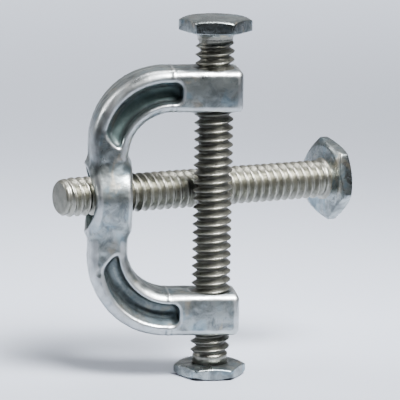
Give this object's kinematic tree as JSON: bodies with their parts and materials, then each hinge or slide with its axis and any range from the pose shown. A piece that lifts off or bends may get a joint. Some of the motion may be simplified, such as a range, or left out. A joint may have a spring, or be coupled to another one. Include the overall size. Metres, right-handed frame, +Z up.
{
  "type": "beam clamp",
  "caption": "Small C-shaped beam clamp: a plated casting on a long hex-head clamp screw, with a loose hex hanger bolt passing through the boss in its back.",
  "frame": {"origin": "centre of the foot cap's underside, on the clamp screw's axis", "axes": "+Z up the clamp screw towards its head; the C lies in the XZ plane, its mouth towards +X and its boss at -X; the hanger bolt passes the clamp screw on its +Y side"},
  "size_m": [0.0389, 0.0219, 0.0448],
  "materials": {
    "casting_zinc": "bright zinc plate over an as-cast surface, with faint blue and yellow tints",
    "screw_steel": "rolled thread, plain steel with a warm grey sheen",
    "cap_zinc": "zinc plated, lightly tarnished",
    "hanger_steel": "rolled thread, plain steel with a warm grey sheen"
  },
  "bodies": {
    "screw": {"clamp_screw": "screw_steel", "foot_cap": "cap_zinc"},
    "clamp": {"clamp_body": "casting_zinc"},
    "hanger": {"hanger_bolt": "hanger_steel"}
  },
  "joints": [
    {"name": "clamp_travel", "type": "slide", "parent": "screw", "child": "clamp", "axis": [0, 0, 1], "range_m": [-0.0035, 0.004]},
    {"name": "hanger_slide", "type": "slide", "parent": "clamp", "child": "hanger", "axis": [0.9204, 0.3907, -0.014], "range_m": [-0.016, 0.006]}
  ]
}
